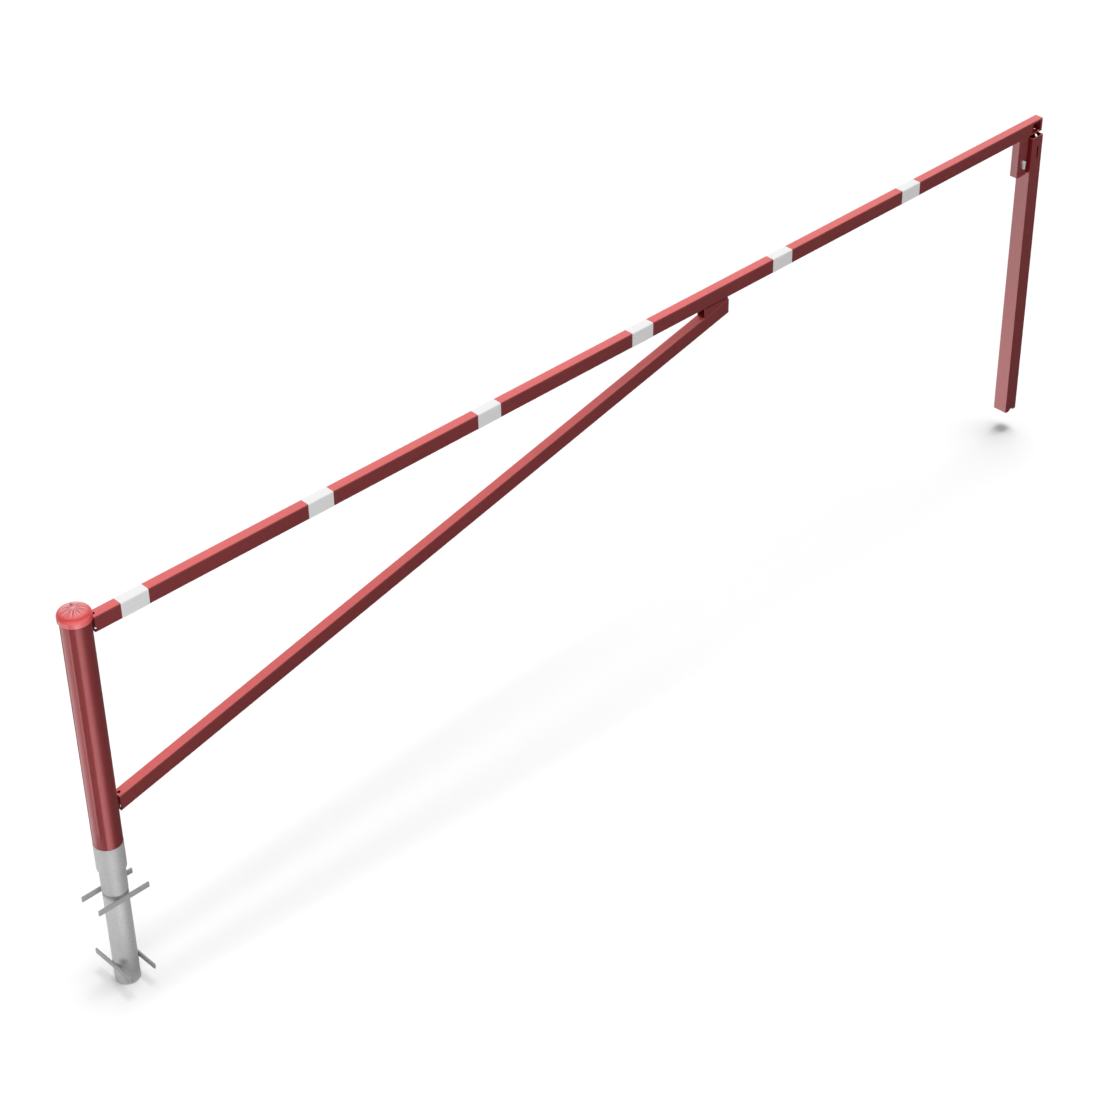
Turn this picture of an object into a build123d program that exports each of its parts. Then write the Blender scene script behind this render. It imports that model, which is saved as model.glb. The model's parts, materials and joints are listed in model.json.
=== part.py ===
import os
from math import asin, atan, cos, sin, sqrt, tan

from build123d import *

os.makedirs("parts", exist_ok=True)

# Millimetres. The turning axis of the post is the Z axis, the arm points along +X,
# and z = 0 is the bottom face of the ground tube.

# Fits and gaps
seat_gap = 0.05          # between welded or pushed-on pieces of one body
bush_clearance = 0.05    # radial, plastic bush inside the turning sleeve
turn_gap = 0.5           # between the turning sleeve and the fixed collar
pad_gap = 0.3            # between the thrust pad and the bearing plate
cap_fit = 0.2            # between the cap and the sleeve
post_head_gap = 8.0      # between the beam and the top of the lock post
post_side_gap = 6.0      # between the lock box and the lock post
door_gap = 0.6           # round the lock box door
cylinder_gap = 0.3       # round the lock cylinder
cut_spare = 1.0          # by which a cut runs past the face it opens

# Ground tube, the fixed core that the sleeve turns on
ground_tube_od = 88.9
ground_tube_wall = 4.0
ground_tube_head_space = 60.0    # from its top to the top of the sleeve
pivot_plug_thickness = 8.0
thrust_pad_od = 42.0
thrust_pad_thickness = 6.0

# Concrete anchors, flat bars on edge
anchor_length = 205.0
anchor_thickness = 6.0
anchor_height = 20.0
anchor_lower_z = 82.0
anchor_spacing = 310.0

# Collar at ground level
collar_rise = 121.0          # upper anchors to the collar's lower face
collar_height = 109.5
collar_step = 0.7            # by which it stands proud of the sleeve
collar_chamfer = 1.0

# Turning sleeve and its bearings
sleeve_wall = 3.6
sleeve_rise = 25.0           # above the top of the beam
bush_wall = 2.65
bush_length = 40.0
lower_bush_inset = 17.0
upper_bush_inset = 20.0
bearing_plate_thickness = 8.0

# Cap
cap_lap = 10.0               # of its skirt over the sleeve
cap_skirt_height = 16.0
cap_skirt_wall = 5.5
cap_shoulder_inset = 5.0
cap_shoulder_height = 12.0
cap_dome_rise = 16.0
cap_wall = 3.0

# Beam
beam_height = 60.0
beam_width = 40.0
tube_wall = 3.0
tube_inner_corner = 1.0
beam_stand_off = 5.2         # from the sleeve to the end of the beam
beam_length = 4800.0
vent_hole_d = 12.0
vent_hole_inset = 11.0
mouse_hole_r = 6.0
mouse_hole_rise = 13.0
end_plate_thickness = 3.0

# Window and corner vents at the lock end of the beam
window_length = 54.0
window_end_inset = 11.0
window_top_margin = 8.0
window_bottom_margin = 7.0
window_corner = 10.0
corner_vent_d = 10.0
corner_vent_inset = 9.5
corner_vent_offset = 10.5

# Reflective bands
band_count = 6
band_first_inset = 101.3
band_last_inset = 795.5
band_width = 107.2
band_thickness = 0.4

# Brace
brace_foot_rise = 107.3      # lower end of the sleeve to the brace's lower edge
brace_head_drop = 681.1      # underside of the beam to the brace's upper edge at the sleeve
brace_end_gap = 9.3          # the same at its far end
brace_band = 4               # bands that the brace reaches past
brace_band_gap = 244.6       # from its far end to the next band
gusset_length = 124.0
gusset_end_inset = 5.5
gusset_thickness = 4.0
gusset_inset = 0.4

# Lugs between the sleeve and the two tubes
lug_thickness = 8.0
lug_reach = 62.0
lug_scallop_depth = 12.0

# Lock box under the beam
box_width = 60.0
box_depth = 40.0
box_height = 173.0
box_floor_thickness = 3.0
door_side_margin = 6.0
door_foot_margin = 12.0
door_height = 80.0
door_corner = 2.0
door_inset = 1.5
door_thickness = 4.0

# Lock
case_head_gap = 6.0
case_foot_gap = 14.0
case_rear_gap = 4.0
case_front_gap = 10.0
case_door_gap = 0.5
case_thickness = 16.0
bolt_thickness = 6.0
bolt_height = 40.0
bolt_depth = 82.0            # underside of the beam to the middle of the bolt
bolt_set_back = 1.0
bolt_slot_end_room = 9.0
bolt_slot_side_room = 1.0
cylinder_head_d = 17.0
cylinder_tail_width = 10.0
cylinder_height = 33.0
cylinder_projection = 8.0
cylinder_shift = 3.0         # from the box's middle towards the lock post
cylinder_drop = 29.0         # top of the door to the middle of the round head
keyway_width = 2.4
keyway_height = 9.0
keyway_depth = 4.0

# Lock post
post_side = 70.0
post_wall = 4.0
post_corner = 4.0
post_inner_corner = 0.5
post_end_inset = 5.0         # from the beam's end to the post's far face
post_bottom = 106.5
side_slot_length = 58.0
side_slot_width = 7.0
side_slot_shift = 4.0
drain_width = 24.0
drain_depth = 9.0
sight_hole_d = 14.0
sight_hole_drop = 18.0

# Worked out from the sizes above: radii
ground_r = ground_tube_od / 2
bore_r = ground_r + seat_gap + bush_wall + bush_clearance
sleeve_r = bore_r + sleeve_wall
collar_r = sleeve_r + collar_step
cap_inner_r = sleeve_r + cap_fit
cap_r = cap_inner_r + cap_skirt_wall
tube_corner = tube_wall + tube_inner_corner

# Places along the arm
beam_start = sleeve_r + beam_stand_off
beam_end = beam_start + beam_length
band_first = beam_start + band_first_inset
band_pitch = (beam_length - band_first_inset - band_last_inset - band_width) / (band_count - 1)
brace_end = band_first + brace_band * band_pitch - brace_band_gap
gusset_end = brace_end - gusset_end_inset
gusset_start = gusset_end - gusset_length
post_x = beam_end - post_end_inset - post_side / 2
box_end = post_x - post_side / 2 - post_side_gap
box_axis_x = box_end - box_width / 2
cylinder_x = box_axis_x + cylinder_shift
case_start = box_end - box_width + tube_wall + case_rear_gap
case_end = box_end - tube_wall - case_front_gap

# Slope of the brace
brace_slope = atan((brace_head_drop - brace_end_gap) / (brace_end - beam_start))
brace_section = beam_height / cos(brace_slope)

# Heights, from the ground tube's foot upwards
anchor_upper_z = anchor_lower_z + anchor_spacing
collar_bottom = anchor_upper_z + collar_rise
collar_top = collar_bottom + collar_height
sleeve_bottom = collar_top + turn_gap
beam_bottom = sleeve_bottom + brace_foot_rise + brace_section + brace_head_drop
beam_axis_z = beam_bottom + beam_height / 2
beam_top = beam_bottom + beam_height
sleeve_top = beam_top + sleeve_rise
cap_skirt_bottom = sleeve_top - cap_lap
ground_tube_top = sleeve_top - ground_tube_head_space
pad_z = ground_tube_top + pivot_plug_thickness
bearing_plate_z = pad_z + thrust_pad_thickness + pad_gap
post_top = beam_bottom - post_head_gap
box_bottom = beam_bottom - box_height
bolt_z = beam_bottom - bolt_depth
door_top = box_bottom + door_foot_margin + door_height
door_z = door_top - door_height / 2
cylinder_z = door_top - cylinder_drop
case_top = beam_bottom - case_head_gap
case_bottom = box_bottom + box_floor_thickness + case_foot_gap


def brace_low(x):
    return sleeve_bottom + brace_foot_rise + (x - beam_start) * tan(brace_slope)


def brace_high(x):
    return brace_low(x) + brace_section


# Fixed side: ground tube, collar, anchors, bearings

with BuildPart() as ground_tube:
    with BuildSketch(Plane.XY):
        Circle(ground_r)
        Circle(ground_r - ground_tube_wall, mode=Mode.SUBTRACT)
    extrude(amount=ground_tube_top)

with BuildPart() as ground_collar:
    with BuildSketch(Plane.XY.offset(collar_bottom)):
        Circle(collar_r)
        Circle(ground_r + seat_gap, mode=Mode.SUBTRACT)
    extrude(amount=collar_height)
    rims = ground_collar.edges().filter_by(GeomType.CIRCLE).sort_by(SortBy.RADIUS)[-2:]
    chamfer(rims.group_by(Axis.Z)[0], collar_chamfer)

anchor_offset = ground_r + seat_gap + anchor_thickness / 2


def anchor_bar(x, y, z, along_x):
    with BuildPart() as bar:
        with BuildSketch(Plane.XY.offset(z - anchor_height / 2)):
            with Locations((x, y)):
                if along_x:
                    Rectangle(anchor_length, anchor_thickness)
                else:
                    Rectangle(anchor_thickness, anchor_length)
        extrude(amount=anchor_height)
    return bar


anchor_upper_front = anchor_bar(0, -anchor_offset, anchor_upper_z, True)
anchor_upper_rear = anchor_bar(0, anchor_offset, anchor_upper_z, True)
anchor_lower_left = anchor_bar(-anchor_offset, 0, anchor_lower_z, False)
anchor_lower_right = anchor_bar(anchor_offset, 0, anchor_lower_z, False)


def bush(z):
    with BuildPart() as ring:
        with BuildSketch(Plane.XY.offset(z)):
            Circle(bore_r - bush_clearance)
            Circle(ground_r + seat_gap, mode=Mode.SUBTRACT)
        extrude(amount=bush_length)
    return ring


lower_bush = bush(sleeve_bottom + lower_bush_inset)
upper_bush = bush(ground_tube_top - upper_bush_inset - bush_length)

with BuildPart() as pivot_plug:
    with BuildSketch(Plane.XY.offset(ground_tube_top)):
        Circle(ground_r)
    extrude(amount=pivot_plug_thickness)

with BuildPart() as thrust_pad:
    with BuildSketch(Plane.XY.offset(pad_z)):
        Circle(thrust_pad_od / 2)
    extrude(amount=thrust_pad_thickness)

# Turning side: sleeve, bearing plate, cap

with BuildPart() as sleeve:
    with BuildSketch(Plane.XY.offset(sleeve_bottom)):
        Circle(sleeve_r)
        Circle(bore_r, mode=Mode.SUBTRACT)
    extrude(amount=sleeve_top - sleeve_bottom)

with BuildPart() as bearing_plate:
    with BuildSketch(Plane.XY.offset(bearing_plate_z)):
        Circle(bore_r - seat_gap)
    extrude(amount=bearing_plate_thickness)

# Cap: a skirt, a rounded shoulder and a low dome, each one arc of the turned profile

cap_seat_z = sleeve_top + cap_fit
shoulder_z = cap_skirt_bottom + cap_skirt_height
dome_z = shoulder_z + cap_shoulder_height
dome_edge_r = cap_r - cap_shoulder_inset
dome_top_z = dome_z + cap_dome_rise
shoulder_r = (cap_shoulder_inset**2 + cap_shoulder_height**2) / (2 * cap_shoulder_inset)
half_turn = asin(cap_shoulder_height / shoulder_r) / 2
shoulder_mid = (cap_r - shoulder_r * (1 - cos(half_turn)), shoulder_z + shoulder_r * sin(half_turn))
dome_r = (dome_edge_r**2 + cap_dome_rise**2) / (2 * cap_dome_rise)
dome_centre_z = dome_top_z - dome_r
inner_dome_r = dome_r - cap_wall
inner_edge_r = dome_edge_r - cap_wall


def dome_height(r, sphere_r):
    return dome_centre_z + sqrt(sphere_r**2 - r**2)


with BuildPart() as post_cap:
    with BuildSketch(Plane.XZ):
        with BuildLine():
            Polyline((cap_inner_r, cap_seat_z), (cap_inner_r, cap_skirt_bottom),
                     (cap_r, cap_skirt_bottom), (cap_r, shoulder_z))
            ThreePointArc((cap_r, shoulder_z), shoulder_mid, (dome_edge_r, dome_z))
            ThreePointArc((dome_edge_r, dome_z), (dome_edge_r / 2, dome_height(dome_edge_r / 2, dome_r)),
                          (0, dome_top_z))
            Line((0, dome_top_z), (0, dome_top_z - cap_wall))
            inner_edge = (inner_edge_r, dome_height(inner_edge_r, inner_dome_r))
            ThreePointArc((0, dome_top_z - cap_wall),
                          (inner_edge_r / 2, dome_height(inner_edge_r / 2, inner_dome_r)), inner_edge)
            Polyline(inner_edge, (inner_edge_r, cap_seat_z), (cap_inner_r, cap_seat_z))
        make_face()
    revolve(axis=Axis.Z)

# Beam: rectangular tube with vent holes, a window at the lock end and corner vents


def tube_section():
    RectangleRounded(beam_width, beam_height, tube_corner)
    RectangleRounded(beam_width - 2 * tube_wall, beam_height - 2 * tube_wall,
                     tube_inner_corner, mode=Mode.SUBTRACT)


beam_plane = Plane(origin=(beam_start, 0, beam_axis_z), x_dir=(0, 1, 0), z_dir=(1, 0, 0))
with BuildPart() as beam:
    with BuildSketch(beam_plane):
        tube_section()
    extrude(amount=beam_length)
    with BuildSketch(Plane.XY.offset(beam_bottom - cut_spare)):
        with Locations((beam_start + vent_hole_inset, 0)):
            Circle(vent_hole_d / 2)
    extrude(amount=beam_height + 2 * cut_spare, mode=Mode.SUBTRACT)
    with BuildSketch(Plane.XZ.offset(-beam_width)):
        with Locations((beam_start, beam_bottom + mouse_hole_rise)):
            Circle(mouse_hole_r)
    extrude(amount=2 * beam_width, mode=Mode.SUBTRACT)
    with BuildSketch(Plane.XZ.offset(beam_width / 2 - tube_wall - cut_spare)):
        window_height = beam_height - window_top_margin - window_bottom_margin
        with Locations((beam_end - window_end_inset - window_length / 2,
                        beam_top - window_top_margin - window_height / 2)):
            RectangleRounded(window_length, window_height, window_corner)
    extrude(amount=tube_wall + 2 * cut_spare, mode=Mode.SUBTRACT)
    with BuildSketch(Plane.XY.offset(beam_bottom - cut_spare)):
        with Locations((beam_end - corner_vent_inset, -corner_vent_offset),
                       (beam_end - corner_vent_inset, corner_vent_offset)):
            Circle(corner_vent_d / 2)
    extrude(amount=tube_wall + 2 * cut_spare, mode=Mode.SUBTRACT)

plug_width = beam_width - 2 * (tube_wall + seat_gap)
with BuildPart() as beam_end_plate:
    with BuildSketch(beam_plane.offset(beam_length - end_plate_thickness)):
        RectangleRounded(plug_width, beam_height - 2 * (tube_wall + seat_gap), tube_inner_corner)
    extrude(amount=end_plate_thickness)


def reflective_band(x):
    outer_grow = band_thickness + seat_gap
    with BuildPart() as wrap:
        with BuildSketch(Plane(origin=(x, 0, beam_axis_z), x_dir=(0, 1, 0), z_dir=(1, 0, 0))):
            RectangleRounded(beam_width + 2 * outer_grow, beam_height + 2 * outer_grow,
                             tube_corner + outer_grow)
            RectangleRounded(beam_width + 2 * seat_gap, beam_height + 2 * seat_gap,
                             tube_corner + seat_gap, mode=Mode.SUBTRACT)
        extrude(amount=band_width)
    return wrap


bands = [reflective_band(band_first + i * band_pitch) for i in range(band_count)]

# Brace: the same tube on a slope, both ends cut upright

slope_dir = Vector(cos(brace_slope), 0, sin(brace_slope))
brace_spare = 2 * beam_height
brace_run = (brace_end - beam_start) / cos(brace_slope)
brace_middle = Vector(beam_start, 0, brace_low(beam_start) + brace_section / 2)
brace_plane = Plane(origin=brace_middle - slope_dir * brace_spare, x_dir=(0, 1, 0), z_dir=slope_dir)
with BuildPart() as brace:
    with BuildSketch(brace_plane):
        tube_section()
    extrude(amount=brace_run + 2 * brace_spare)
    split(bisect_by=Plane(origin=(beam_start, 0, 0), z_dir=(1, 0, 0)), keep=Keep.TOP)
    split(bisect_by=Plane(origin=(brace_end, 0, 0), z_dir=(1, 0, 0)), keep=Keep.BOTTOM)
    with BuildSketch(Plane.XY.offset(brace_low(beam_start) - brace_section)):
        with Locations((beam_start + vent_hole_inset, 0)):
            Circle(vent_hole_d / 2)
    extrude(amount=3 * brace_section, mode=Mode.SUBTRACT)
    with BuildSketch(Plane.XZ.offset(-beam_width)):
        with Locations((beam_start, brace_low(beam_start) + mouse_hole_rise)):
            Circle(mouse_hole_r)
    extrude(amount=2 * beam_width, mode=Mode.SUBTRACT)

inner_step = (tube_wall + seat_gap) / cos(brace_slope)
with BuildPart() as brace_end_plate:
    with BuildSketch(Plane.XZ.offset(-plug_width / 2)):
        with BuildLine():
            x_in = brace_end - end_plate_thickness
            Polyline((x_in, brace_low(x_in) + inner_step), (brace_end, brace_low(brace_end) + inner_step),
                     (brace_end, brace_high(brace_end) - inner_step),
                     (x_in, brace_high(x_in) - inner_step), close=True)
        make_face()
    extrude(amount=plug_width)
    long_edges = brace_end_plate.edges().filter_by(lambda e: abs((e % 0.5).X) > cos(2 * brace_slope))
    fillet(long_edges, tube_inner_corner * 1.2)


def gusset(y_outer):
    with BuildPart() as cheek:
        with BuildSketch(Plane.XZ.offset(-y_outer)):
            with BuildLine():
                Polyline((gusset_start, brace_high(gusset_start) + seat_gap),
                         (gusset_end, brace_high(gusset_end) + seat_gap),
                         (gusset_end, beam_bottom - seat_gap),
                         (gusset_start, beam_bottom - seat_gap), close=True)
            make_face()
        extrude(amount=gusset_thickness)
    return cheek


gusset_front = gusset(-(beam_width / 2 - gusset_inset) + gusset_thickness)
gusset_rear = gusset(beam_width / 2 - gusset_inset)

# Lugs: upright plates from the sleeve into the open tube ends, coped to the sleeve
# and cut away at the vent holes


def lug(low_at, high_at):
    x_out = beam_start + lug_reach
    vent_x = beam_start + vent_hole_inset
    with BuildPart() as plate:
        with BuildSketch(Plane.XZ.offset(-lug_thickness / 2)):
            with BuildLine():
                Polyline((bore_r, low_at(bore_r)), (x_out, low_at(x_out)),
                         (x_out, high_at(x_out)), (bore_r, high_at(bore_r)), close=True)
            make_face()
        extrude(amount=lug_thickness)
        Cylinder(sleeve_r + seat_gap, 4 * beam_top, mode=Mode.SUBTRACT)
        for edge_z in (low_at(vent_x), high_at(vent_x)):
            with Locations((vent_x, 0, edge_z)):
                Cylinder(vent_hole_d / 2, 2 * lug_scallop_depth, mode=Mode.SUBTRACT)
    return plate


beam_lug = lug(lambda x: beam_bottom + tube_wall + seat_gap,
               lambda x: beam_top - tube_wall - seat_gap)
brace_lug = lug(lambda x: brace_low(x) + inner_step,
                lambda x: brace_high(x) - inner_step)

# Lock box: a short upright tube under the beam with a small door for the lock

bolt_slot_length = bolt_height + 2 * bolt_slot_end_room
bolt_slot_width = bolt_thickness + 2 * bolt_slot_side_room
door_width = box_width - 2 * door_side_margin
with BuildPart() as lock_box:
    with BuildSketch(Plane.XY.offset(box_bottom)):
        with Locations((box_axis_x, 0)):
            RectangleRounded(box_width, box_depth, tube_corner)
            RectangleRounded(box_width - 2 * tube_wall, box_depth - 2 * tube_wall,
                             tube_inner_corner, mode=Mode.SUBTRACT)
    extrude(amount=box_height - seat_gap)
    with BuildSketch(Plane.XZ.offset(box_depth / 2 - tube_wall - cut_spare)):
        with Locations((box_axis_x, door_z)):
            RectangleRounded(door_width, door_height, door_corner)
    extrude(amount=tube_wall + 2 * cut_spare, mode=Mode.SUBTRACT)
    with BuildSketch(Plane.YZ.offset(box_end - tube_wall - cut_spare)):
        with Locations((0, bolt_z)):
            SlotOverall(bolt_slot_length, bolt_slot_width, rotation=90)
    extrude(amount=tube_wall + 2 * cut_spare, mode=Mode.SUBTRACT)

with BuildPart() as lock_box_floor:
    with BuildSketch(Plane.XY.offset(box_bottom)):
        with Locations((box_axis_x, 0)):
            RectangleRounded(box_width - 2 * (tube_wall + seat_gap),
                             box_depth - 2 * (tube_wall + seat_gap), tube_inner_corner)
    extrude(amount=box_floor_thickness)


def cylinder_outline(grow):
    tail_low = cylinder_z + cylinder_head_d / 2 - cylinder_height
    with BuildSketch(Plane.XZ) as outline:
        with Locations((cylinder_x, cylinder_z)):
            Circle(cylinder_head_d / 2 + grow)
        with Locations((cylinder_x, (tail_low + cylinder_z) / 2)):
            SlotOverall(cylinder_z - tail_low + cylinder_tail_width + 2 * grow,
                        cylinder_tail_width + 2 * grow, rotation=90)
    return outline.sketch


door_face = box_depth / 2 - door_inset
with BuildPart() as lock_door:
    with BuildSketch(Plane.XZ.offset(door_face - door_thickness)):
        with Locations((box_axis_x, door_z)):
            RectangleRounded(door_width - 2 * door_gap, door_height - 2 * door_gap, door_corner - door_gap)
        add(cylinder_outline(cylinder_gap), mode=Mode.SUBTRACT)
    extrude(amount=door_thickness)

case_front = door_face - door_thickness - case_door_gap
case_back = case_front - case_thickness
with BuildPart() as lock_case:
    with BuildSketch(Plane.XZ.offset(case_back)):
        with Locations(((case_start + case_end) / 2, (case_bottom + case_top) / 2)):
            Rectangle(case_end - case_start, case_top - case_bottom)
        add(cylinder_outline(cylinder_gap), mode=Mode.SUBTRACT)
    extrude(amount=case_thickness)

with BuildPart() as lock_cylinder:
    with BuildSketch(Plane.XZ.offset(case_back)):
        add(cylinder_outline(0))
    extrude(amount=box_depth / 2 + cylinder_projection - case_back)
    with BuildSketch(Plane.XZ.offset(box_depth / 2 + cylinder_projection - keyway_depth)):
        with Locations((cylinder_x, cylinder_z)):
            Rectangle(keyway_width, keyway_height)
    extrude(amount=keyway_depth + cut_spare, mode=Mode.SUBTRACT)

bolt_start = case_end + seat_gap
bolt_end = box_end - bolt_set_back
with BuildPart() as lock_bolt:
    with BuildSketch(Plane.XZ.offset(-bolt_thickness / 2)):
        with Locations(((bolt_start + bolt_end) / 2, bolt_z)):
            Rectangle(bolt_end - bolt_start, bolt_height)
    extrude(amount=bolt_thickness)

# Lock post: a square tube with an open top, slots for the bolt and a drain notch at the foot

drain_r = ((drain_width / 2)**2 + drain_depth**2) / (2 * drain_depth)
with BuildPart() as lock_post:
    with BuildSketch(Plane.XY.offset(post_bottom)):
        with Locations((post_x, 0)):
            RectangleRounded(post_side, post_side, post_corner)
            RectangleRounded(post_side - 2 * post_wall, post_side - 2 * post_wall,
                             post_inner_corner, mode=Mode.SUBTRACT)
    extrude(amount=post_top - post_bottom)
    with BuildSketch(Plane.XZ.offset(post_side / 2 - post_wall - cut_spare)):
        with Locations((post_x + side_slot_shift, bolt_z)):
            SlotOverall(side_slot_length, side_slot_width, rotation=90)
    extrude(amount=post_wall + 2 * cut_spare, mode=Mode.SUBTRACT)
    with BuildSketch(Plane.YZ.offset(post_x - post_side / 2 - cut_spare)):
        with Locations((0, bolt_z)):
            SlotOverall(bolt_slot_length, bolt_slot_width, rotation=90)
    extrude(amount=post_wall + 2 * cut_spare, mode=Mode.SUBTRACT)
    with BuildSketch(Plane.YZ.offset(post_x + post_side / 2 - post_wall - cut_spare)):
        with Locations((0, post_top - sight_hole_drop)):
            Circle(sight_hole_d / 2)
    extrude(amount=post_wall + 2 * cut_spare, mode=Mode.SUBTRACT)
    with BuildSketch(Plane.XZ.offset(-post_side)):
        with Locations((post_x, post_bottom + drain_depth - drain_r)):
            Circle(drain_r)
    extrude(amount=2 * post_side, mode=Mode.SUBTRACT)

pieces = {
    "ground_tube": ground_tube,
    "ground_collar": ground_collar,
    "anchor_upper_front": anchor_upper_front,
    "anchor_upper_rear": anchor_upper_rear,
    "anchor_lower_left": anchor_lower_left,
    "anchor_lower_right": anchor_lower_right,
    "lower_bush": lower_bush,
    "upper_bush": upper_bush,
    "pivot_plug": pivot_plug,
    "thrust_pad": thrust_pad,
    "lock_post": lock_post,
    "sleeve": sleeve,
    "bearing_plate": bearing_plate,
    "post_cap": post_cap,
    "beam": beam,
    "beam_end_plate": beam_end_plate,
    "brace": brace,
    "brace_end_plate": brace_end_plate,
    "gusset_front": gusset_front,
    "gusset_rear": gusset_rear,
    "beam_lug": beam_lug,
    "brace_lug": brace_lug,
    "lock_box": lock_box,
    "lock_box_floor": lock_box_floor,
    "lock_door": lock_door,
    "lock_case": lock_case,
    "lock_cylinder": lock_cylinder,
    "lock_bolt": lock_bolt,
}
for i, wrap in enumerate(bands):
    pieces[f"band_{i + 1}"] = wrap

for name, piece in pieces.items():
    piece.part.label = name
    export_step(piece.part, f"parts/{name}.step")
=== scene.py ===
import json
import math

import bpy
from mathutils import Matrix, Vector

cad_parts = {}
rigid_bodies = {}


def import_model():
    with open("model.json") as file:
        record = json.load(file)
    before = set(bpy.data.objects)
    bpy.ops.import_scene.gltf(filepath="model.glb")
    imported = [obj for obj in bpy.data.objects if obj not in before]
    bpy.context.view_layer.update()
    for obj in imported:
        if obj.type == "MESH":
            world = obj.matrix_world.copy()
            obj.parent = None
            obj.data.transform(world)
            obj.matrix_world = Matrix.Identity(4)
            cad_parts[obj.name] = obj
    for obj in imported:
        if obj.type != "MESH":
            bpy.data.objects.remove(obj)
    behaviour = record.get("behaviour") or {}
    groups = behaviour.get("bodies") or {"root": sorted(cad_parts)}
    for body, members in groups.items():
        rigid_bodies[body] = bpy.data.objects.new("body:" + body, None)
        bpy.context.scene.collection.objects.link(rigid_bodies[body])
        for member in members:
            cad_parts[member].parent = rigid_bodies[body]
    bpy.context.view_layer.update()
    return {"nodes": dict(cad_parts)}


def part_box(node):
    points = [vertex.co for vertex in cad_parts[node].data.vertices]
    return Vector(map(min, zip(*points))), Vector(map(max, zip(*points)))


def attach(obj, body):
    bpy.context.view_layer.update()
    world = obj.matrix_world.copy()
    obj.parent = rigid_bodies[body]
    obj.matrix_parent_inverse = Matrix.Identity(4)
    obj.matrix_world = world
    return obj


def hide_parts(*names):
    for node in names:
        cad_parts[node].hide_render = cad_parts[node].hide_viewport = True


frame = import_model()
nodes = frame["nodes"]
print("frame loaded with", len(nodes), "nodes")


# Small helpers for modelling

def clearSelection():
    if bpy.context.object and bpy.context.object.mode != "OBJECT":
        bpy.ops.object.mode_set(mode="OBJECT")
    bpy.ops.object.select_all(action="DESELECT")


def pickPiece(piece):
    clearSelection()
    bpy.context.view_layer.objects.active = piece
    piece.select_set(True)


def startEdit(piece):
    pickPiece(piece)
    bpy.ops.object.mode_set(mode="EDIT")


def selectFaces(piece, wanted):
    # picks faces by their centre and normal, then goes back to edit mode
    bpy.ops.mesh.select_all(action="DESELECT")
    bpy.ops.object.mode_set(mode="OBJECT")
    for face in piece.data.polygons:
        face.select = wanted(face.center, face.normal)
    bpy.ops.object.mode_set(mode="EDIT")


def selectVerts(piece, wanted):
    bpy.ops.mesh.select_mode(type="VERT")
    bpy.ops.mesh.select_all(action="DESELECT")
    bpy.ops.object.mode_set(mode="OBJECT")
    for vert in piece.data.vertices:
        vert.select = wanted(vert.co)
    bpy.ops.object.mode_set(mode="EDIT")


def endEdit():
    bpy.ops.object.mode_set(mode="OBJECT")


def applyAll(piece):
    pickPiece(piece)
    for modifier in list(piece.modifiers):
        bpy.ops.object.modifier_apply(modifier=modifier.name)


def settle(piece):
    # the piece's place goes into its mesh and its object back to the origin
    pickPiece(piece)
    bpy.ops.object.transform_apply(location=True, rotation=True, scale=True)


def joinPieces(name, parts):
    clearSelection()
    for part in parts:
        part.select_set(True)
    bpy.context.view_layer.objects.active = parts[0]
    bpy.ops.object.join()
    whole = bpy.context.object
    whole.name = name
    whole.data.name = name
    return whole


def smoothShade(piece, degrees):
    pickPiece(piece)
    bpy.ops.object.shade_smooth_by_angle(angle=math.radians(degrees))


def extrudeProfile(radius, height, profile):
    # carries the selected ring through the (radius, height) points of a turned profile
    for nextRadius, nextHeight in profile:
        bpy.ops.mesh.extrude_region_move(TRANSFORM_OT_translate={"value": (0, 0, nextHeight - height)})
        if nextRadius != radius:
            scale = nextRadius / radius
            bpy.ops.transform.resize(value=(scale, scale, 1), center_override=(0, 0, nextHeight))
        radius, height = nextRadius, nextHeight
    return height


def finishPiece(piece, material, body):
    piece.data.materials.clear()
    piece.data.materials.append(material)
    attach(piece, body)


# Node tools

def newMaterial(name):
    material = bpy.data.materials.new(name)
    material.use_nodes = True
    tree = material.node_tree
    shader = tree.nodes["Principled BSDF"]
    return material, tree, shader


def addNode(tree, kind, place, **settings):
    node = tree.nodes.new(kind)
    node.location = place
    for key, value in settings.items():
        setattr(node, key, value)
    return node


def addObjectPlace(tree, place):
    return addNode(tree, "ShaderNodeTexCoord", place).outputs["Object"]


def addNoise(tree, place, source, grain):
    # grain is (scale, detail, roughness)
    scale, detail, rough = grain
    noise = addNode(tree, "ShaderNodeTexNoise", place)
    noise.inputs["Scale"].default_value = scale
    noise.inputs["Detail"].default_value = detail
    noise.inputs["Roughness"].default_value = rough
    tree.links.new(source, noise.inputs["Vector"])
    return noise.outputs["Fac"]


def addRange(tree, place, source, lowIn, highIn, lowOut, highOut):
    ramp = addNode(tree, "ShaderNodeMapRange", place)
    ends = {"From Min": lowIn, "From Max": highIn, "To Min": lowOut, "To Max": highOut}
    for socket, value in ends.items():
        ramp.inputs[socket].default_value = value
    tree.links.new(source, ramp.inputs["Value"])
    return ramp.outputs["Result"]


def addMath(tree, place, operation, first, second):
    node = addNode(tree, "ShaderNodeMath", place, operation=operation)
    for socket, value in zip(node.inputs, (first, second)):
        if isinstance(value, (int, float)):
            socket.default_value = value
        else:
            tree.links.new(value, socket)
    return node.outputs[0]


def addMix(tree, place, factor, first, second, blend="MIX"):
    node = addNode(tree, "ShaderNodeMix", place, data_type="RGBA", blend_type=blend)
    for socket, value in zip((node.inputs[0], node.inputs[6], node.inputs[7]), (factor, first, second)):
        if isinstance(value, (int, float, tuple)):
            socket.default_value = value
        else:
            tree.links.new(value, socket)
    return node.outputs[2]


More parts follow.
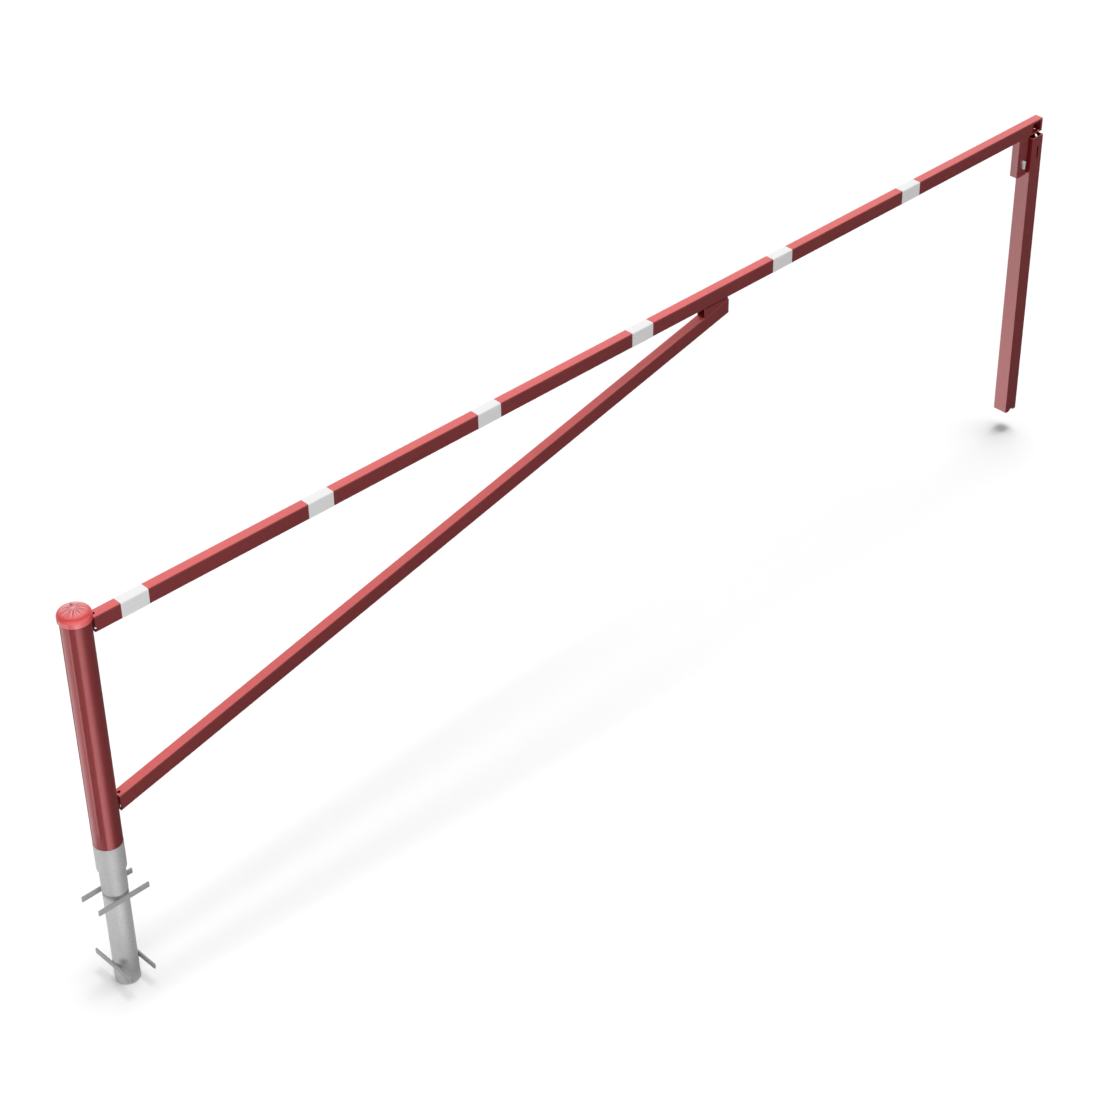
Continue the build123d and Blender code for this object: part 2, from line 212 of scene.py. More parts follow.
def newGroup(name, inputs, outputs):
    tree = bpy.data.node_groups.new(name, "ShaderNodeTree")
    for label, kind, value in inputs:
        socket = tree.interface.new_socket(label, in_out="INPUT", socket_type=kind)
        socket.default_value = value
    for label, kind in outputs:
        tree.interface.new_socket(label, in_out="OUTPUT", socket_type=kind)
    entry = addNode(tree, "NodeGroupInput", (-900, 0))
    leave = addNode(tree, "NodeGroupOutput", (900, 0))
    return tree, entry, leave


def placeGroup(tree, group, place, **values):
    node = addNode(tree, "ShaderNodeGroup", place)
    node.node_tree = group
    for label, value in values.items():
        node.inputs[label].default_value = value
    return node


def addBump(tree, shader, height, strength, distance):
    bump = addNode(tree, "ShaderNodeBump", (-300, -400))
    bump.inputs["Strength"].default_value = strength
    bump.inputs["Distance"].default_value = distance
    tree.links.new(height, bump.inputs["Height"])
    tree.links.new(bump.outputs["Normal"], shader.inputs["Normal"])


# Shared surface effects

def makeTopLightGroup():
    # painted light: faces that look up take a paler colour, as if lit from above, with faint blotches and
    # orange peel
    weather = {"blotch": (2.2, 5.0, 0.6), "blotchTone": (0.94, 1.05), "speckle": (60.0, 3.0, 0.6),
               "speckleTone": (0.97, 1.03), "glossSpread": (-0.02, 0.03), "peelDetail": 1.0}
    group, entry, leave = newGroup(
        "paintedTopLightAndPeel",
        [("Shaded", "NodeSocketColor", (0.2, 0.03, 0.03, 1)),
         ("Bleached", "NodeSocketColor", (0.6, 0.1, 0.1, 1)),
         ("FadeFrom", "NodeSocketFloat", 0.6),
         ("FadeTo", "NodeSocketFloat", 1.0),
         ("Peel", "NodeSocketFloat", 500.0),
         ("Gloss", "NodeSocketFloat", 0.1)],
        [("Color", "NodeSocketColor"), ("Roughness", "NodeSocketFloat"), ("Height", "NodeSocketFloat")])
    links = group.links
    where = addObjectPlace(group, (-900, -300))
    facing = addNode(group, "ShaderNodeNewGeometry", (-900, 300)).outputs["Normal"]
    split = addNode(group, "ShaderNodeSeparateXYZ", (-700, 300))
    links.new(facing, split.inputs[0])
    upward = addRange(group, (-500, 300), split.outputs["Z"], 0.6, 1.0, 0.0, 1.0)
    links.new(entry.outputs["FadeFrom"], upward.node.inputs["From Min"])
    links.new(entry.outputs["FadeTo"], upward.node.inputs["From Max"])
    blotch = addNoise(group, (-700, 0), where, weather["blotch"])
    blotchShade = addRange(group, (-500, 0), blotch, 0.3, 0.7, *weather["blotchTone"])
    speckle = addNoise(group, (-700, -200), where, weather["speckle"])
    speckleShade = addRange(group, (-500, -200), speckle, 0.35, 0.65, *weather["speckleTone"])
    topLit = addMix(group, (-200, 300), upward, entry.outputs["Shaded"], entry.outputs["Bleached"])
    shade = addMath(group, (-300, 0), "MULTIPLY", blotchShade, speckleShade)
    shadeColor = addNode(group, "ShaderNodeCombineColor", (-100, 0))
    for socket in shadeColor.inputs[:3]:
        links.new(shade, socket)
    toned = addMix(group, (200, 200), 1.0, topLit, shadeColor.outputs[0], "MULTIPLY")
    links.new(toned, leave.inputs["Color"])
    roughSpread = addRange(group, (0, -200), blotch, 0.3, 0.7, *weather["glossSpread"])
    links.new(addMath(group, (200, -200), "ADD", entry.outputs["Gloss"], roughSpread),
              leave.inputs["Roughness"])
    peelNoise = addNode(group, "ShaderNodeTexNoise", (0, -450))
    peelNoise.inputs["Detail"].default_value = weather["peelDetail"]
    links.new(where, peelNoise.inputs["Vector"])
    links.new(entry.outputs["Peel"], peelNoise.inputs["Scale"])
    links.new(peelNoise.outputs["Fac"], leave.inputs["Height"])
    return group


def makeSpangleGroup():
    # the crystal flowers of hot-dip zinc: cells of slightly different grey, with clouds and grain
    flower = {"cloud": (14.0, 4.0, 0.6), "grain": (420.0, 4.0, 0.7), "cellShare": 0.4, "cloudShare": 0.14,
              "grainShare": 0.46, "rough": (0.68, 0.58)}
    group, entry, leave = newGroup(
        "zincSpangle",
        [("Dark", "NodeSocketColor", (0.4, 0.4, 0.4, 1)),
         ("Pale", "NodeSocketColor", (0.6, 0.6, 0.6, 1)),
         ("Spangles", "NodeSocketFloat", 90.0)],
        [("Color", "NodeSocketColor"), ("Roughness", "NodeSocketFloat"), ("Height", "NodeSocketFloat")])
    links = group.links
    where = addObjectPlace(group, (-900, -300))
    cells = addNode(group, "ShaderNodeTexVoronoi", (-600, 200))
    links.new(where, cells.inputs["Vector"])
    links.new(entry.outputs["Spangles"], cells.inputs["Scale"])
    cellTone = addNode(group, "ShaderNodeSeparateColor", (-400, 200))
    links.new(cells.outputs["Color"], cellTone.inputs[0])
    cloud = addNoise(group, (-600, -100), where, flower["cloud"])
    grain = addNoise(group, (-600, -300), where, flower["grain"])
    cellMix = addMath(group, (-200, 200), "MULTIPLY", cellTone.outputs[0], flower["cellShare"])
    cloudMix = addRange(group, (-400, -100), cloud, 0.3, 0.7, 0.0, flower["cloudShare"])
    grainMix = addRange(group, (-400, -300), grain, 0.3, 0.7, 0.0, flower["grainShare"])
    tone = addMath(group, (0, 100), "ADD", addMath(group, (-150, 0), "ADD", cellMix, cloudMix), grainMix)
    links.new(addMix(group, (250, 200), tone, entry.outputs["Dark"], entry.outputs["Pale"]),
              leave.inputs["Color"])
    links.new(addRange(group, (250, -50), tone, 0.0, 1.0, *flower["rough"]), leave.inputs["Roughness"])
    links.new(addMath(group, (250, -250), "ADD", cellMix, grainMix), leave.inputs["Height"])
    return group


topLightGroup = makeTopLightGroup()
spangleGroup = makeSpangleGroup()


# Finishes

def addZone(tree, place, spot, low, high):
    # 1 inside the box from low to high, 0 outside, on the separated object coordinates
    inside = 1.0
    for number, axis in enumerate("XYZ"):
        middle, half = (low[number] + high[number]) / 2, (high[number] - low[number]) / 2
        spread = (place[0], place[1] - 160 * number)
        off = addMath(tree, spread, "SUBTRACT", spot.outputs[axis], middle)
        gap = addMath(tree, (spread[0] + 160, spread[1]), "ABSOLUTE", off, 0.0)
        within = addMath(tree, (spread[0] + 320, spread[1]), "LESS_THAN", gap, half)
        inside = addMath(tree, (spread[0] + 480, spread[1]), "MULTIPLY", within, inside)
    return inside


def makeRedPaint(name, flake=0.34, coat=1.0, coatGloss=0.07, zones=()):
    # zones are (low, high, color, clear) boxes where the paint takes another tone, painted shade such as the
    # dark inside of a tube or painted light such as a lit patch; clear is the share of the clear coat that it
    # keeps there
    # paintedTopLight is painted light, the paler tone that faces looking up take as if lit from above
    paint = {"shaded": (0.246, 0.045, 0.047, 1), "paintedTopLight": (0.74, 0.132, 0.13, 1), "gloss": 0.46,
             "flake": flake, "coat": coat, "coatGloss": coatGloss, "coatIndex": 1.4, "topLightFrom": 0.6,
             "topLightTo": 1.0, "peel": 420.0, "peelShow": 0.06, "peelDepth": 0.0004}
    material, tree, shader = newMaterial(name)
    skin = placeGroup(tree, topLightGroup, (-600, 0), Shaded=paint["shaded"], Bleached=paint["paintedTopLight"],
                      FadeFrom=paint["topLightFrom"], FadeTo=paint["topLightTo"], Peel=paint["peel"],
                      Gloss=paint["gloss"])
    color, clear = skin.outputs["Color"], paint["coat"]
    if zones:
        spot = addNode(tree, "ShaderNodeSeparateXYZ", (-1900, 300))
        tree.links.new(addObjectPlace(tree, (-2100, 300)), spot.inputs[0])
    for number, (low, high, tint, kept) in enumerate(zones):
        inside = addZone(tree, (-1600, 900 + 600 * number), spot, low, high)
        color = addMix(tree, (-300, 200 + 200 * number), inside, color, tint)
        dulled = addMath(tree, (-700, 400 + 200 * number), "MULTIPLY", inside, 1.0 - kept)
        clearOf = addMath(tree, (-500, 400 + 200 * number), "SUBTRACT", 1.0, dulled)
        clear = addMath(tree, (-300, 400 + 200 * number), "MULTIPLY", clearOf, clear)
    if zones:
        tree.links.new(clear, shader.inputs["Coat Weight"])
    else:
        shader.inputs["Coat Weight"].default_value = clear
    tree.links.new(color, shader.inputs["Base Color"])
    tree.links.new(skin.outputs["Roughness"], shader.inputs["Roughness"])
    shader.inputs["Metallic"].default_value = paint["flake"]
    shader.inputs["Specular IOR Level"].default_value = 0.0
    shader.inputs["Coat Roughness"].default_value = paint["coatGloss"]
    shader.inputs["Coat IOR"].default_value = paint["coatIndex"]
    addBump(tree, shader, skin.outputs["Height"], paint["peelShow"], paint["peelDepth"])
    return material


def makeCapPlastic(name, shadeSide, litSide, paintedTopLight):
    # painted light: the skirt is palest on the side that faces heading -115 degrees and darker on the side
    # away from it, and the top is painted paler as if lit from above
    cap = {"gloss": 0.3, "lightHeading": math.radians(-115), "from": 0.5, "to": 1.0, "topLightFrom": 0.84,
           "topLightTo": 0.96, "peel": 900.0, "peelShow": 0.1, "peelDepth": 0.0002}
    material, tree, shader = newMaterial(name)
    facing = addNode(tree, "ShaderNodeNewGeometry", (-1300, 200)).outputs["Normal"]
    towardLight = addNode(tree, "ShaderNodeVectorMath", (-1100, 200), operation="DOT_PRODUCT")
    tree.links.new(facing, towardLight.inputs[0])
    towardLight.inputs[1].default_value = (math.cos(cap["lightHeading"]), math.sin(cap["lightHeading"]), 0)
    litShare = addRange(tree, (-950, 200), towardLight.outputs["Value"], cap["from"], cap["to"], 0.0, 1.0)
    skin = placeGroup(tree, topLightGroup, (-600, 0), Bleached=paintedTopLight, FadeFrom=cap["topLightFrom"],
                      FadeTo=cap["topLightTo"], Peel=cap["peel"], Gloss=cap["gloss"])
    tree.links.new(addMix(tree, (-780, 100), litShare, shadeSide, litSide), skin.inputs["Shaded"])
    tree.links.new(skin.outputs["Color"], shader.inputs["Base Color"])
    tree.links.new(skin.outputs["Roughness"], shader.inputs["Roughness"])
    addBump(tree, shader, skin.outputs["Height"], cap["peelShow"], cap["peelDepth"])
    return material


def makeGalvanised(name, dark, pale, rimShadeTop=None, shadeSpot=None):
    # rimShadeTop is the height of a rim: painted shade sits below it and thins out downwards
    # shadeSpot is the place of a dull dark round patch of painted shade
    zinc = {"spangles": 460.0, "metallic": 0.5, "rimShadeFall": 0.02, "rimShadeTone": 0.62, "shadeSpotCore": 0.005,
            "shadeSpotEdge": 0.021, "shadeSpotTone": 0.45, "rimSoft": 0.001, "rimShadeColor": (0.03, 0.03, 0.03, 1),
            "shadeSpotColor": (0.05, 0.05, 0.05, 1), "specular": 0.2, "cellShow": 0.1, "cellDepth": 0.0002}
    material, tree, shader = newMaterial(name)
    skin = placeGroup(tree, spangleGroup, (-800, 0), Dark=dark, Pale=pale, Spangles=zinc["spangles"])
    color = skin.outputs["Color"]
    # painted shade: the zinc darkens in a band just under the rim
    if rimShadeTop:
        where = addNode(tree, "ShaderNodeSeparateXYZ", (-1100, 300))
        tree.links.new(addObjectPlace(tree, (-1300, 300)), where.inputs[0])
        below = addRange(tree, (-900, 300), where.outputs["Z"], rimShadeTop - zinc["rimShadeFall"], rimShadeTop,
                         0.0, 1.0)
        above = addRange(tree, (-900, 500), where.outputs["Z"], rimShadeTop, rimShadeTop + zinc["rimSoft"],
                         zinc["rimShadeTone"], 0.0)
        rimShade = addMath(tree, (-650, 400), "MULTIPLY", below, above)
        color = addMix(tree, (-450, 200), rimShade, color, zinc["rimShadeColor"])
    # painted shade: a dark round patch on the tube
    if shadeSpot:
        away = addNode(tree, "ShaderNodeVectorMath", (-900, 700), operation="DISTANCE")
        tree.links.new(addObjectPlace(tree, (-1100, 700)), away.inputs[0])
        away.inputs[1].default_value = shadeSpot
        near = addRange(tree, (-650, 700), away.outputs["Value"], zinc["shadeSpotCore"], zinc["shadeSpotEdge"],
                        zinc["shadeSpotTone"], 0.0)
        color = addMix(tree, (-250, 400), near, color, zinc["shadeSpotColor"])
    tree.links.new(color, shader.inputs["Base Color"])
    tree.links.new(skin.outputs["Roughness"], shader.inputs["Roughness"])
    shader.inputs["Metallic"].default_value = zinc["metallic"]
    shader.inputs["Specular IOR Level"].default_value = zinc["specular"]
    addBump(tree, shader, skin.outputs["Height"], zinc["cellShow"], zinc["cellDepth"])
    return material


def makeReflectiveFilm():
    # white film with the small sealed cells that send light back
    sheet = {"cells": 260.0, "uneven": 0.15, "ribWidth": 0.09, "rib": (0.77, 0.77, 0.77, 1),
             "cell": (0.84, 0.84, 0.84, 1), "soilGrain": (9.0, 6.0, 0.6), "soil": (0.7, 0.7, 0.68, 1),
             "soilMost": 0.12, "rough": (0.32, 0.42), "ribShow": 0.2, "ribDepth": 0.0002}
    material, tree, shader = newMaterial("whiteReflectiveFilm")
    where = addObjectPlace(tree, (-1100, 0))
    cells = addNode(tree, "ShaderNodeTexVoronoi", (-850, 0), feature="DISTANCE_TO_EDGE")
    cells.inputs["Scale"].default_value = sheet["cells"]
    cells.inputs["Randomness"].default_value = sheet["uneven"]
    tree.links.new(where, cells.inputs["Vector"])
    rib = addRange(tree, (-650, 0), cells.outputs["Distance"], 0.0, sheet["ribWidth"], 0.0, 1.0)
    soil = addNoise(tree, (-850, -250), where, sheet["soilGrain"])
    soilTone = addRange(tree, (-650, -250), soil, 0.35, 0.75, 0.0, sheet["soilMost"])
    cellColor = addMix(tree, (-450, 100), rib, sheet["rib"], sheet["cell"])
    tree.links.new(addMix(tree, (-250, 100), soilTone, cellColor, sheet["soil"]),
                   shader.inputs["Base Color"])
    tree.links.new(addRange(tree, (-450, -250), soil, 0.3, 0.7, *sheet["rough"]), shader.inputs["Roughness"])
    addBump(tree, shader, rib, sheet["ribShow"], sheet["ribDepth"])
    return material


def makeTurnedMetal(name, color, roughness, metallic, ringScale):
    # fine turning marks that vary along the piece
    metal = {"markDetail": 3.0, "markRough": 0.6, "cloud": (40.0, 5.0, 0.6), "darker": 0.82, "smoother": 0.05,
             "rougher": 0.07, "markShow": 0.08, "markDepth": 0.0002}
    material, tree, shader = newMaterial(name)
    where = addObjectPlace(tree, (-1100, 0))
    fine = addNoise(tree, (-850, 0), where, (ringScale, metal["markDetail"], metal["markRough"]))
    cloud = addNoise(tree, (-850, -250), where, metal["cloud"])
    darker = tuple(channel * metal["darker"] for channel in color[:3]) + (1,)
    cloudMix = addRange(tree, (-650, 0), cloud, 0.3, 0.7, 0.0, 1.0)
    tree.links.new(addMix(tree, (-450, 100), cloudMix, darker, color), shader.inputs["Base Color"])
    tree.links.new(addRange(tree, (-450, -150), fine, 0.3, 0.7, roughness - metal["smoother"],
                            roughness + metal["rougher"]), shader.inputs["Roughness"])
    shader.inputs["Metallic"].default_value = metallic
    addBump(tree, shader, fine, metal["markShow"], metal["markDepth"])
    return material


def makeBushPlastic():
    plastic = {"cloud": (60.0, 5.0, 0.6), "deep": (0.74, 0.73, 0.68, 1), "pale": (0.84, 0.83, 0.79, 1),
               "rough": (0.4, 0.5), "cloudShow": 0.1, "cloudDepth": 0.0002}
    material, tree, shader = newMaterial("slidingPlastic")
    where = addObjectPlace(tree, (-1100, 0))
    cloud = addNoise(tree, (-850, 0), where, plastic["cloud"])
    tree.links.new(addMix(tree, (-450, 100), cloud, plastic["deep"], plastic["pale"]),
                   shader.inputs["Base Color"])
    tree.links.new(addRange(tree, (-450, -150), cloud, 0.3, 0.7, *plastic["rough"]),
                   shader.inputs["Roughness"])
    addBump(tree, shader, cloud, plastic["cloudShow"], plastic["cloudDepth"])
    return material


# Zones of paint with painted shade or painted light, as (low, high, color, clear), from the boxes of the
# pieces

postLow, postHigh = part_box("lock_post")
beamLow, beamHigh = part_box("beam")
boxLow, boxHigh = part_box("lock_box")
gussetLow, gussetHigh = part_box("gusset_front")
zone = {"tubeWall": 0.003, "postWall": 0.004, "skin": 0.0003, "slotFrom": 0.03, "slotTo": 0.048,
        "slotFoot": 0.1, "slotSkin": 0.0002, "slotHead": 0.002, "gapDepth": 0.0005, "windowReach": 0.1,
        "gussetInside": 0.0159, "gussetDepth": 0.03, "braceInside": 0.0196, "braceEnds": 0.004,
        "overBeam": 0.0005, "spare": 0.001}
# tones of painted shade and painted light for the zones
paintedShadeAndLight = {"paintedShadeBlack": (0.004, 0.002, 0.002, 1), "shadeRed": (0.36, 0.03, 0.03, 1),
            "gapShadeRed": (0.28, 0.018, 0.018, 1), "paintedLightRed": (0.75, 0.028, 0.028, 1),
            "seamShadeRed": (0.15, 0.024, 0.024, 1)}
tubeSkin = zone["tubeWall"] - zone["skin"]
postSkin = zone["postWall"] - zone["skin"]
# painted shade: the hollow of the lock post is painted black
postHollowShade = ((postLow[0] + postSkin, postLow[1] + postSkin, postLow[2]),
              (postHigh[0] - postSkin, postHigh[1] - postSkin, postHigh[2]), paintedShadeAndLight["paintedShadeBlack"], 0.0)
# painted shade: the side walls of the slot in the lock post are painted black
slotSidesShade = ((postLow[0] + zone["slotFrom"], postLow[1] + zone["slotSkin"], postLow[2] + zone["slotFoot"]),
             (postLow[0] + zone["slotTo"], postLow[1] + zone["postWall"], postHigh[2] - zone["slotHead"]),
             paintedShadeAndLight["paintedShadeBlack"], 0.0)
# painted shade: the lock post's face towards the lock box, from the box's foot up, is painted deep red
lockGapShade = ((postLow[0] - zone["gapDepth"], postLow[1] - zone["spare"], boxLow[2]),
           (postLow[0] + zone["gapDepth"], postHigh[1] + zone["spare"], postHigh[2] + zone["spare"]),
           paintedShadeAndLight["gapShadeRed"], 1.0)
# painted light: the inside of the beam's far end, seen through its window, is painted bright red as if lit
windowPaintedLight = ((beamHigh[0] - zone["windowReach"], beamLow[1] + tubeSkin, beamLow[2] + tubeSkin),
                (beamHigh[0] + zone["spare"], beamHigh[1] - tubeSkin, beamHigh[2] - tubeSkin),
                paintedShadeAndLight["paintedLightRed"], 0.0)
# painted shade: the faces between and inside the gussets, under the beam, are painted dark red
wedgeFoot = gussetLow[2] - zone["gussetDepth"]
betweenGussetsShade = ((gussetLow[0] - zone["braceEnds"], -zone["braceInside"], wedgeFoot),
                  (gussetHigh[0] + zone["braceEnds"], zone["braceInside"], beamLow[2] + zone["overBeam"]),
                  paintedShadeAndLight["shadeRed"], 0.0)
insideGussetsShade = ((gussetLow[0] - zone["spare"], -zone["gussetInside"], wedgeFoot),
                 (gussetHigh[0] + zone["spare"], zone["gussetInside"], gussetHigh[2] + zone["spare"]),
                 paintedShadeAndLight["shadeRed"], 0.0)
# painted shade: the gusset seams are painted dark red all over
seamShadeEverywhere = ((-1, -1, 0), (6, 1, 2), paintedShadeAndLight["seamShadeRed"], 0.0)

# cap colours: painted shade on the side away from the light, painted light on the side towards it, and
# painted light on the top
coating = {"cap": ((0.6, 0.036, 0.036, 1), (0.87, 0.165, 0.17, 1), (0.84, 0.29, 0.295, 1)),
           "creaseShade": ((0.1, 0.02, 0.02, 1), (0.1, 0.02, 0.02, 1), (0.16, 0.03, 0.03, 1)),
           "nickel": (0.92, 0.9, 0.89, 1), "steel": (0.42, 0.42, 0.44, 1),
           "collarZinc": ((0.365, 0.365, 0.365, 1), (0.55, 0.55, 0.55, 1)),
           "tubeZinc": ((0.42, 0.42, 0.42, 1), (0.63, 0.63, 0.63, 1)),
           "barZinc": ((0.32, 0.32, 0.32, 1), (0.47, 0.47, 0.47, 1)),
           "rimOverAnchor": 0.009, "shadeSpotOverAnchor": 0.018, "shadeSpotPlace": (-0.031, -0.034)}
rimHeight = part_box("anchor_upper_front")[1][2] + coating["rimOverAnchor"]
# painted shade: the dark spot sits on the tube just above the lower left anchor
shadeSpotPlace = coating["shadeSpotPlace"] + (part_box("anchor_lower_left")[1][2] + coating["shadeSpotOverAnchor"],)
redPaint = makeRedPaint("glossyRedPaint")
gussetPaint = makeRedPaint("glossyRedGussetPaint", zones=(insideGussetsShade,))
framePaint = makeRedPaint("glossyRedFramePaint", zones=(windowPaintedLight, betweenGussetsShade))
postPaint = makeRedPaint("glossyRedPostPaint", zones=(postHollowShade, slotSidesShade, lockGapShade))
sleevePaint = makeRedPaint("glossyRedSleevePaint", flake=0.56, coat=0.5, coatGloss=0.03)
seamPaint = makeRedPaint("shadedSeamPaint", coat=0.2, zones=(seamShadeEverywhere,))
capPlastic = makeCapPlastic("redCapPlastic", *coating["cap"])
# painted shade: the plastic that darkens the grooves of the wrinkles
creaseShadePlastic = makeCapPlastic("paintedShadeCreasePlastic", *coating["creaseShade"])
collarZinc = makeGalvanised("galvanisedCollar", *coating["collarZinc"])
tubeZinc = makeGalvanised("galvanisedTube", *coating["tubeZinc"], rimHeight, shadeSpotPlace)
barZinc = makeGalvanised("galvanisedBar", *coating["barZinc"])
film = makeReflectiveFilm()
nickel = makeTurnedMetal("satinNickel", coating["nickel"], roughness=0.4, metallic=0.25, ringScale=900.0)
oiledSteel = makeTurnedMetal("oiledSteel", coating["steel"], roughness=0.35, metallic=0.9, ringScale=500.0)
bushPlastic = makeBushPlastic()
print("finishes ready")

nodeFinishes = {
    sleevePaint: ("sleeve",),
    framePaint: ("beam", "brace"),
    redPaint: ("beam_end_plate", "brace_end_plate", "beam_lug", "brace_lug",
               "lock_box", "lock_box_floor", "lock_door"),
    gussetPaint: ("gusset_front", "gusset_rear"),
    postPaint: ("lock_post",),
    capPlastic: ("post_cap",),
    tubeZinc: ("ground_tube",),
    collarZinc: ("ground_collar",),
    barZinc: ("anchor_upper_front", "anchor_upper_rear", "anchor_lower_left", "anchor_lower_right"),
    film: tuple("band_%d" % number for number in range(1, 7)),
    nickel: ("lock_cylinder",),
    oiledSteel: ("pivot_plug", "bearing_plate", "lock_case", "lock_bolt"),
    bushPlastic: ("lower_bush", "upper_bush", "thrust_pad"),
}
for material, names in nodeFinishes.items():
    for name in names:
        slots = nodes[name].data.materials
        slots.clear()
        slots.append(material)


# Cap: a turned profile with the radial wrinkles that old plastic gets round the middle, their grooves painted
# dark as shade

def wave(angle):
    # runs between 0 and 1
    return 0.5 + 0.5 * math.sin(angle)


def makeWrinkledCap():
    cap = {"segments": 360, "rimLip": 0.0006, "skirtWall": 0.0055, "skirtHeight": 0.016,
           "skirtInside": 0.0085, "shoulderInset": 0.005, "shoulderHeight": 0.012, "rings": 40,
           "wrinkles": 27, "innerReach": 0.0025, "shortReach": 0.028, "longReach": 0.047, "width": 0.0014,
           "depth": 0.0012, "smooth": 40,
           "fold": (math.radians(72), 0.008, 0.034, 0.0046), "shoulderSteps": 8, "headingSway": 0.07,
           "startSway": 0.004, "finishSway": 0.005, "fullWidthFrom": 0.018, "flatEnough": 0.5,
           "headingBeat": 2.3, "startBeat": 1.7, "finishBeat": 2.9, "finishShift": 1, "awayTurn": 0.2,
           "nearShare": 0.8, "nearTurn": 0.6}
    low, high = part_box("post_cap")
    outerRadius = (high[0] - low[0]) / 2
    innerRadius = outerRadius - cap["skirtWall"]
    skirtTop = low[2] + cap["skirtHeight"]
    inset, climb = cap["shoulderInset"], cap["shoulderHeight"]
    shoulderRadius = (inset**2 + climb**2) / (2 * inset)
    shoulderTurn = math.asin(climb / shoulderRadius)
    domeRadius, domeBase = outerRadius - inset, skirtTop + climb
    rise = high[2] - domeBase
    ballRadius = (domeRadius**2 + rise**2) / (2 * rise)
    profile = [(innerRadius, low[2]), (outerRadius - cap["rimLip"], low[2]),
               (outerRadius, low[2] + cap["rimLip"]), (outerRadius, skirtTop)]
    for step in range(1, cap["shoulderSteps"] + 1):
        turn = shoulderTurn * step / cap["shoulderSteps"]
        profile.append((outerRadius - shoulderRadius * (1 - math.cos(turn)),
                        skirtTop + shoulderRadius * math.sin(turn)))
    for step in range(1, cap["rings"]):
        radius = domeRadius * (1 - step / cap["rings"])
        profile.append((radius, high[2] - ballRadius + math.sqrt(ballRadius**2 - radius**2)))

    clearSelection()
    height = low[2] + cap["skirtInside"]
    bpy.ops.mesh.primitive_circle_add(vertices=cap["segments"], radius=innerRadius, location=(0, 0, height))
    piece = bpy.context.object
    startEdit(piece)
    bpy.ops.mesh.select_all(action="SELECT")
    height = extrudeProfile(innerRadius, height, profile)
    bpy.ops.mesh.extrude_region_move(TRANSFORM_OT_translate={"value": (0, 0, high[2] - height)})
    bpy.ops.mesh.merge(type="CENTER")
    bpy.ops.mesh.select_all(action="SELECT")
    bpy.ops.mesh.normals_make_consistent(inside=False)
    endEdit()
    settle(piece)
    smoothShade(piece, cap["smooth"])

    # straight wrinkles of uneven place and length, longest away from the arm and long again beside it,
    # and one wide fold; a track is (heading, start, finish, width)
    tracks = [cap["fold"]]
    for number in range(cap["wrinkles"]):
        heading = 2 * math.pi * number / cap["wrinkles"]
        heading += cap["headingSway"] * math.sin(number * cap["headingBeat"])
        start = cap["innerReach"] + cap["startSway"] * wave(number * cap["startBeat"])
        away = max(0.0, -math.cos(heading - cap["awayTurn"]),
                   cap["nearShare"] * math.cos(heading + cap["nearTurn"]))
        finish = cap["shortReach"] + (cap["longReach"] - cap["shortReach"]) * away
        finish -= cap["finishSway"] * wave(number * cap["finishBeat"] + cap["finishShift"])
        tracks.append((heading, start, finish, cap["width"]))

    def onWrinkle(centre, normal):
        if normal.z < cap["flatEnough"]:
            return False
        radius = math.hypot(centre.x, centre.y)
        angle = math.atan2(centre.y, centre.x)
        for heading, start, finish, width in tracks:
            if start < radius < finish:
                off = (angle - heading + math.pi) % (2 * math.pi) - math.pi
                taper = math.sqrt(math.sin(math.pi * (radius - start) / (finish - start)))
                if abs(off) * radius < width * taper * min(1.0, radius / cap["fullWidthFrom"]) / 2:
                    return True
        return False

    piece.data.materials.append(capPlastic)
    piece.data.materials.append(creaseShadePlastic)
    startEdit(piece)
    bpy.ops.mesh.select_mode(type="FACE")
    selectFaces(piece, onWrinkle)
    bpy.ops.mesh.extrude_region_move(TRANSFORM_OT_translate={"value": (0, 0, -cap["depth"])})
    bpy.ops.mesh.select_more()
    # the grooves and their walls take the crease plastic, a painted shade
    piece.active_material_index = 1
    bpy.ops.object.material_slot_assign()
    endEdit()
    piece.name = "wrinkledCap"
    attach(piece, "arm")
    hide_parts("post_cap")
    print("wrinkled cap ready with", len(piece.data.polygons), "faces")


# Welds: one ripple, repeated along each seam

def makeBead(start, end, width):
    bead = {"segments": 10, "rings": 6, "pitch": 0.5, "squeeze": 0.62, "tail": 0.82, "tailFrom": -0.15}
    line = Vector(end) - Vector(start)
    step = width * bead["pitch"]
    clearSelection()
    bpy.ops.mesh.primitive_uv_sphere_add(segments=bead["segments"], ring_count=bead["rings"],
                                         radius=width / 2)
    seam = bpy.context.object
    startEdit(seam)
    bpy.ops.mesh.select_all(action="SELECT")
    bpy.ops.transform.resize(value=(bead["squeeze"], 1, 1))
    selectVerts(seam, lambda place: place.x < bead["tailFrom"] * width)
    bpy.ops.transform.resize(value=(1, bead["tail"], bead["tail"]))
    endEdit()
    ripples = seam.modifiers.new("ripples", "ARRAY")
    ripples.use_relative_offset = False
    ripples.use_constant_offset = True
    ripples.constant_offset_displace = (step, 0, 0)
    ripples.count = max(2, int(line.length / step) + 1)
    applyAll(seam)
    seam.matrix_world = Matrix.Translation(start) @ line.to_track_quat("X", "Z").to_matrix().to_4x4()
    settle(seam)
    return seam


